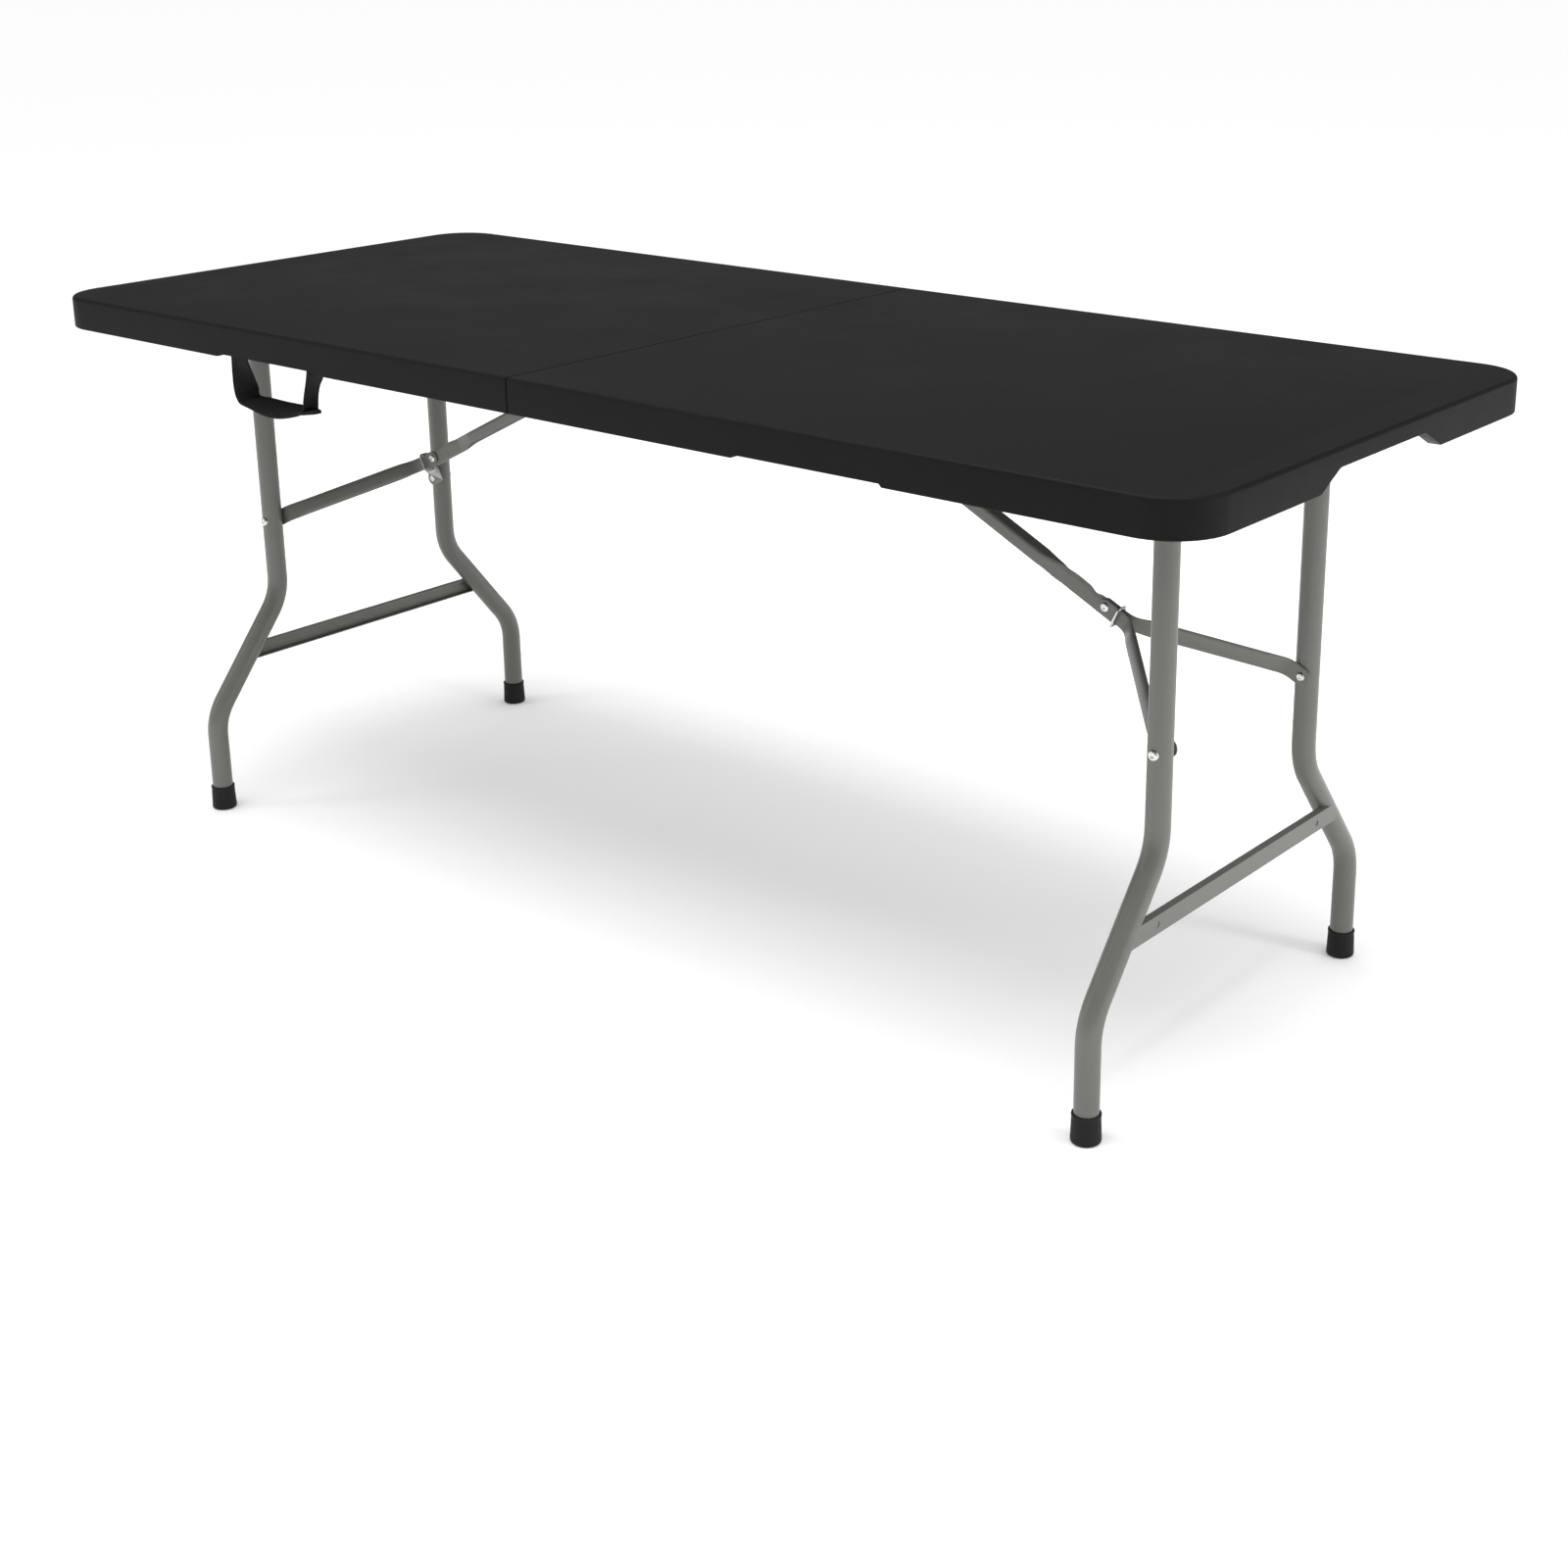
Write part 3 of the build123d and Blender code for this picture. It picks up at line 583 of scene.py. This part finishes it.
def makeArms():
    for name, side in sides.items():
        for place, across in (("back", 1), ("front", -1)):
            bm = bmesh.new()
            stations = []
            for x, y, lean, thick, high, square in armStations():
                spot = Matrix.Translation(Vector((x, y, 0)) * mm) @ Matrix.Rotation(lean, 4, "Z")
                stations.append((spot, thick * mm, high * mm, square))
            loft(bm, stations, armSizes["segments"])
            bmesh.ops.scale(bm, vec=(1, across, 1), verts=bm.verts)
            bmesh.ops.transform(bm, matrix=armFrame, verts=bm.verts)
            bmesh.ops.scale(bm, vec=(side, 1, 1), verts=bm.verts)
            addPiece(name + place.title() + "Arm", bm, name + "_brace_fork", "powder",
                     [name + "_" + place + "_arm"], sharp=42)


makeArms()
print("arms ready")


# lock rings: a wire bent round the plate and both arms

wireRing = {
    "along": 18.0,
    "wire": 1.45,
    "side": 7.6,
    "top": 11.3,
    "low": -14.4,
    "corner": 3.4,
    "cornerSteps": 6,
    "segments": 12,
}


def makeRings():
    w = wireRing
    reach, middle = w["side"] - w["corner"], (w["top"] + w["low"]) / 2
    rise = (w["top"] - w["low"]) / 2 - w["corner"]
    spots = []
    for number, (y, z) in enumerate(((1, 1), (-1, 1), (-1, -1), (1, -1))):
        for step in range(w["cornerSteps"] + 1):
            turn = math.radians(90) * (number + step / w["cornerSteps"])
            outward = Vector((0, math.cos(turn), math.sin(turn)))
            centre = Vector((w["along"], y * reach, middle + z * rise))
            spots.append((centre + outward * w["corner"], outward))
    for name, side in sides.items():
        bm = bmesh.new()
        rings = []
        for spot, outward in spots:
            ahead = Vector((1, 0, 0)).cross(outward)
            frameHere = Matrix((outward, Vector((1, 0, 0)), -ahead)).transposed().to_4x4()
            place = armFrame @ Matrix.Translation(spot * mm) @ frameHere
            made = bmesh.ops.create_circle(bm, cap_ends=False, segments=w["segments"],
                                           radius=w["wire"] * mm, matrix=place)["verts"]
            rings.append(list({e for v in made for e in v.link_edges}))
        for near, far in zip(rings, rings[1:] + rings[:1]):
            bmesh.ops.bridge_loops(bm, edges=near + far)
        toSide(bm, side)
        addPiece(name + "WireRing", bm, name + "_lock_ring", "zinc",
                 [name + "_lock_ring"], sharp=60)


makeRings()
print("lock rings ready")


# rivets with a domed head and a set-in middle

rivets = {
    "knee": {"radius": 5.6, "height": 1.7, "seat": 1.6},
    "leg": {"radius": 6.2, "height": 2.4, "seat": 2.4, "skirt": 1.3},
    "arm": {"radius": 5.2, "height": 2.2, "seat": 2.4},
    "pin": 3.0,
    "pinSteps": 16,
    "legPin": 28.0,
    "armPin": 2.3,
}


def headProfile(size):
    r = size["radius"]
    h = size["height"]
    return ((0, h * 0.62), (r * 0.22, h * 0.62), (r * 0.32, h * 0.7), (r * 0.4, h * 0.96), (r * 0.5, h),
            (r * 0.68, h * 0.95), (r * 0.84, h * 0.74), (r * 0.94, h * 0.46), (r, h * 0.2),
            (r, -size.get("skirt", 0.0)))


def pin(bm, low, high, matrix):
    lathe(bm, ((rivets["pin"], low), (rivets["pin"], high)), matrix, rivets["pinSteps"])


def makeKneeRivet(name, side):
    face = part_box(name + "_knee_rivet")[1].y - rivets["knee"]["seat"] * mm
    knee = Vector((kneePlace.x * side, 0, kneePlace.z))
    bm = bmesh.new()
    for across in (1, -1):
        seat = knee + Vector((0, across * face, 0))
        lathe(bm, headProfile(rivets["knee"]), facing(seat, (0, across, 0)))
    pin(bm, -face / mm, face / mm, facing(knee, (0, 1, 0)))
    addPiece(name + "KneeRivet", bm, name + "_brace_fork", "zinc", [name + "_knee_rivet"])


def makeLegRivets(name, spot):
    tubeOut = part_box(name + "_leg_rivets")[1].y - rivets["leg"]["seat"] * mm
    tubeIn = tubeOut - rivets["legPin"] * mm
    bm = bmesh.new()
    for across in (1, -1):
        seat = spot + Vector((0, across * tubeOut, 0))
        lathe(bm, headProfile(rivets["leg"]), facing(seat, (0, across, 0)))
        pin(bm, 0, rivets["legPin"], facing(spot + Vector((0, across * tubeIn, 0)), (0, across, 0)))
    addPiece(name + "LegRivets", bm, name + "_leg_frame", "zinc", [name + "_leg_rivets"])


def makeArmRivets(name, spot):
    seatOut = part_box(name + "_arm_rivets")[1].y - rivets["arm"]["seat"] * mm
    bm = bmesh.new()
    for across in (1, -1):
        seat = facing(spot + Vector((0, across * seatOut, 0)), (0, -across, 0))
        lathe(bm, headProfile(rivets["arm"]), seat)
        pin(bm, -rivets["armPin"], 0, seat)
    addPiece(name + "ArmRivets", bm, name + "_brace_fork", "zinc", [name + "_arm_rivets"])


def makeRivets():
    for name, side in sides.items():
        low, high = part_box(name + "_leg_rivets")
        spot = Vector(((low.x + high.x) / 2, 0, (low.z + high.z) / 2))
        makeKneeRivet(name, side)
        makeLegRivets(name, spot)
        makeArmRivets(name, spot)


makeRivets()
print("rivets ready")


# rubber feet

foot = {
    # radius and height, from the mouth down the outside and in over the ribbed sole
    "profile": ((14.0, 34.0), (15.4, 34.2), (16.2, 33.4), (16.3, 31.6), (15.9, 30.6), (15.95, 29.6),
                (16.4, 16.0), (16.9, 5.0), (16.9, 3.0), (16.3, 1.2), (15.0, 0.2), (13.6, 0.0),
                (12.9, 0.9), (11.9, 0.9), (11.2, 0.0), (8.6, 0.0), (7.9, 0.9), (6.9, 0.9), (6.2, 0.0),
                (0.0, 0.0)),
    "steps": 48,
}


def makeFeet():
    for name in sides:
        for place in ("front", "back"):
            low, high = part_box(f"{name}_{place}_foot")
            bm = bmesh.new()
            middle = Vector(((low.x + high.x) / 2, (low.y + high.y) / 2, 0))
            lathe(bm, foot["profile"], Matrix.Translation(middle), foot["steps"])
            addPiece(name + place.title() + "Foot", bm, name + "_leg_frame", "rubber",
                     [f"{name}_{place}_foot"], sharp=40)


makeFeet()
print("feet ready")


# webbing handle: screwed ends, two flat sides and a grip turned across them

strap = {
    "thick": 2.0,
    "width": 33.0,
    "weaveLength": 290.0,
    "hem": 0.5,
    "columns": 10,
    "rows": 132,
    # from one screwed end to the other: along the rim, up, share of the width,
    # turn of the width from along the rim to across it, and lean of the grip's front edge
    "line": (
        (-76.0, 25.0, 1.0, 0, 0),
        (-76.0, 6.0, 1.0, 0, 0),
        (-75.5, -5.0, 0.98, 3, 0),
        (-73.0, -16.0, 0.93, 16, 0),
        (-70.0, -28.0, 0.9, 36, 0),
        (-67.0, -39.0, 0.94, 62, 0),
        (-65.0, -48.0, 1.0, 85, 2),
        (-59.0, -52.5, 1.06, 90, 5),
        (-42.0, -54.0, 1.06, 90, 12),
        (-20.0, -56.5, 1.06, 90, 20),
        (0.0, -57.5, 1.06, 90, 23),
        (20.0, -56.5, 1.04, 90, 21),
        (42.0, -54.0, 0.98, 90, 14),
        (57.0, -51.5, 0.84, 90, 6),
        (61.0, -46.0, 0.68, 86, 0),
        (62.5, -37.0, 0.58, 66, 0),
        (65.0, -27.0, 0.56, 38, 0),
        (69.0, -16.0, 0.66, 16, 0),
        (74.0, -5.0, 0.9, 3, 0),
        (76.0, 6.0, 1.0, 0, 0),
        (76.0, 25.0, 1.0, 0, 0),
    ),
    "foldStart": (54.0, -52.5),
    "foldLength": 27.0,
    "foldWidth": (0.92, 0.3),
    "foldRise": 4.0,
    "foldLean": 4.0,
    "foldTaper": 1.4,
    "foldRows": 10,
    "foldColumns": 8,
    "foldThick": 3.8,
    "heldAbove": 3.0,
    "freeBelow": 5.0,
}


def strapLine(share):
    # Catmull-Rom through the line's points
    points = strap["line"]
    spot = share * (len(points) - 1)
    i = min(int(spot), len(points) - 2)
    f = spot - i
    near = [points[min(max(i + k, 0), len(points) - 1)] for k in (-1, 0, 1, 2)]
    return [0.5 * (2 * b + (c - a) * f + (2 * a - 5 * b + 4 * c - d) * f * f
                   + (3 * b - a - 3 * c + d) * f ** 3)
            for a, b, c, d in zip(*near)]


def strapGrid(rows, columns, place):
    # a flat grid laid along the strap, with lengths along and across it in its UV map
    bm = bmesh.new()
    uv = bm.loops.layers.uv.new("strap")
    bmesh.ops.create_grid(bm, x_segments=rows, y_segments=columns, size=1)
    spots = {}
    for v in bm.verts:
        v.co, spots[v] = place((v.co.x + 1) / 2, v.co.y)
    for face in bm.faces:
        for loop in face.loops:
            loop[uv].uv = spots[loop.vert]
    return bm


def strapPlace(share, across):
    x, z, width, turn, lean = strapLine(share)
    out = across * strap["width"] / 2 * width
    turn = math.radians(turn)
    lean = math.radians(lean)
    shift = Vector((out * math.cos(turn), out * math.sin(turn) * math.cos(lean), z + out * math.sin(lean)))
    along = share * strap["weaveLength"] * mm
    return handlePlace + (Vector((x, 0, 0)) + shift) * mm, (along, out * mm)


def foldPlace(share, across):
    # the doubled end of the grip that stands out past the strap's right side
    wide, narrow = strap["foldWidth"]
    out = across * strap["width"] / 2 * (wide + (narrow - wide) * share ** strap["foldTaper"])
    x = strap["foldStart"][0] + strap["foldLength"] * share
    z = strap["foldStart"][1] + strap["foldRise"] * share
    spot = Vector((x, out - strap["foldLean"] * share, z))
    return handlePlace + spot * mm, (x * mm, out * mm)


def makeStrap():
    bm = strapGrid(strap["rows"], strap["columns"], strapPlace)
    piece = addPiece("webbingHandle", bm, None, "webbing",
                     ["carry_handle", "handle_tabs"], sharp=60, turned=False)
    thicken(piece, strap["thick"])
    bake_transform(piece)
    bm = strapGrid(strap["foldRows"], strap["foldColumns"], foldPlace)
    fold = addPiece("webbingFold", bm, "carry_handle", "webbing", sharp=60, turned=False)
    thicken(fold, strap["foldThick"])


def thicken(piece, thick):
    wall = piece.modifiers.new("strapThickness", "SOLIDIFY")
    wall.thickness = thick * mm
    wall.offset = 0
    hem = piece.modifiers.new("softEdges", "BEVEL")
    hem.width = strap["hem"] * mm
    hem.segments = 2
    hem.limit_method = "ANGLE"
    hem.angle_limit = math.radians(50)


makeStrap()
print("webbing handle ready")


# moulded halves: the underside's grid of round tack-off pits is cut into a merged copy

panel = {
    "pitMouth": 10.0,
    "pitFloor": 7.2,
    "pitDepth": 4.0,
    "pitch": 40.0,
    "first": 40.0,
    "columns": 21,
    "widest": 300.0,
    "bracketRoom": (43.0, 35.0),
    "overlap": 0.5,
    "pitSides": 14,
}


def mergedCopy(node):
    bm = bmesh.new()
    bm.from_mesh(nodes[node].data)
    bmesh.ops.remove_doubles(bm, verts=bm.verts, dist=2e-6)
    bmesh.ops.dissolve_limit(bm, angle_limit=math.radians(0.4), verts=bm.verts, edges=bm.edges)
    return bm


def cutAway(bm, cutter):
    # both meshes become objects for one exact boolean, and only its result is kept
    made = []
    for part in (bm, cutter):
        mesh = bpy.data.meshes.new("boolean")
        part.to_mesh(mesh)
        part.free()
        if "custom_normal" in mesh.attributes:
            mesh.attributes.remove(mesh.attributes["custom_normal"])
        body = bpy.data.objects.new("boolean", mesh)
        scene.collection.objects.link(body)
        made.append(body)
    cut = made[0].modifiers.new("cut", "BOOLEAN")
    cut.operation = "DIFFERENCE"
    cut.solver = "EXACT"
    cut.object = made[1]
    result = bmesh.new()
    result.from_object(made[0], bpy.context.evaluated_depsgraph_get())
    for body in made:
        mesh = body.data
        bpy.data.objects.remove(body)
        bpy.data.meshes.remove(mesh)
    return result


def makePanels():
    for name, side in sides.items():
        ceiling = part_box(name + "_front_rail")[1].z
        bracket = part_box(name + "_brace_bracket")
        middle = abs(bracket[0].x + bracket[1].x) / 2 / mm
        cutter = bmesh.new()
        rows = int(2 * panel["widest"] / panel["pitch"]) + 1
        tall = panel["pitDepth"] + panel["overlap"]
        for column in range(panel["columns"]):
            x = panel["first"] + panel["pitch"] * column
            for row in range(rows):
                y = panel["pitch"] * row - panel["widest"]
                if abs(x - middle) < panel["bracketRoom"][0] and abs(y) < panel["bracketRoom"][1]:
                    continue
                spot = Vector((side * x * mm, y * mm, ceiling + (tall / 2 - panel["overlap"]) * mm))
                bmesh.ops.create_cone(cutter, cap_ends=True, segments=panel["pitSides"],
                                      radius1=panel["pitMouth"] * mm, radius2=panel["pitFloor"] * mm,
                                      depth=tall * mm, matrix=Matrix.Translation(spot))
        bm = cutAway(mergedCopy(name + "_panel"), cutter)
        addPiece(name + "MouldedHalf", bm, name + "_half", "hdpe", [name + "_panel"],
                 sharp=28, turned=False)


makePanels()
print("moulded halves ready")


# pan-head screws with a cross recess

screw = {
    "radius": 4.25,
    "height": 2.2,
    "sheet": 1.5,
    "cells": 10,
    "crossReach": 0.62,
    "crossTaper": 0.8,
    "recess": 0.9,
    "crown": 0.3,
}


def screwHead(bm, radius, height, matrix):
    cells = screw["cells"]
    before = set(bm.verts)
    bmesh.ops.create_grid(bm, x_segments=cells, y_segments=cells, size=1)
    fresh = [v for v in bm.verts if v not in before]
    faces = list({f for v in fresh for f in v.link_faces})
    half = 1 / cells + 1e-3
    cross = []
    for face in faces:
        x, y = face.calc_center_median().to_2d()
        if max(abs(x), abs(y)) < screw["crossReach"] and min(abs(x), abs(y)) < half:
            cross.append(face)
    for v in fresh:
        x, y = v.co.x, v.co.y
        v.co.x = x * math.sqrt(1 - y * y / 2) * radius
        v.co.y = y * math.sqrt(1 - x * x / 2) * radius
        v.co.z = height * (1 - screw["crown"] * (v.co.x ** 2 + v.co.y ** 2) / radius ** 2)
    rim = [e for f in faces for e in f.edges if e.is_boundary]
    wall = bmesh.ops.extrude_edge_only(bm, edges=rim)["geom"]
    foot = [g for g in wall if isinstance(g, bmesh.types.BMVert)]
    for v in foot:
        v.co.z = 0
    sunk = bmesh.ops.extrude_face_region(bm, geom=cross)["geom"]
    bmesh.ops.delete(bm, geom=cross, context="FACES_ONLY")
    low = [g for g in sunk if isinstance(g, bmesh.types.BMVert)]
    for v in low:
        v.co.z -= screw["recess"] * mm
        v.co.x *= screw["crossTaper"]
        v.co.y *= screw["crossTaper"]
    bmesh.ops.transform(bm, matrix=matrix, verts=list(set(fresh) | set(foot) | set(low)))


def partCentres(node):
    # the middle of each separate solid in a node
    bm = mergedCopy(node)
    left = set(bm.verts)
    centres = []
    while left:
        start = left.pop()
        island = {start}
        edge = [start]
        while edge:
            v = edge.pop()
            for e in v.link_edges:
                other = e.other_vert(v)
                if other not in island:
                    island.add(other)
                    edge.append(other)
        left -= island
        low = Vector([min(v.co[k] for v in island) for k in range(3)])
        high = Vector([max(v.co[k] for v in island) for k in range(3)])
        centres.append((low + high) / 2)
    bm.free()
    return sorted(centres, key=lambda spot: tuple(round(c, 4) for c in spot))


def makeScrews():
    for name in sides:
        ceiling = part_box(name + "_front_rail")[1].z
        for node in ("rail_screws", "bracket_screws"):
            bm = bmesh.new()
            for spot in partCentres(f"{name}_{node}"):
                seat = Vector((spot.x, spot.y, ceiling - screw["sheet"] * mm))
                screwHead(bm, screw["radius"] * mm, screw["height"] * mm, facing(seat, (0, 0, -1)))
            addPiece(name + node.title().replace("_", ""), bm, name + "_half", "zinc",
                     [f"{name}_{node}"], sharp=30)


makeScrews()
print("screws ready")


# every CAD node that stays gets its finish

def coatNodes():
    for name, node in nodes.items():
        paint = paints[paintOfSlot[slotOfNode[name]]]
        node.data.materials.clear()
        node.data.materials.append(paint)


coatNodes()
print("carried-over nodes coated")
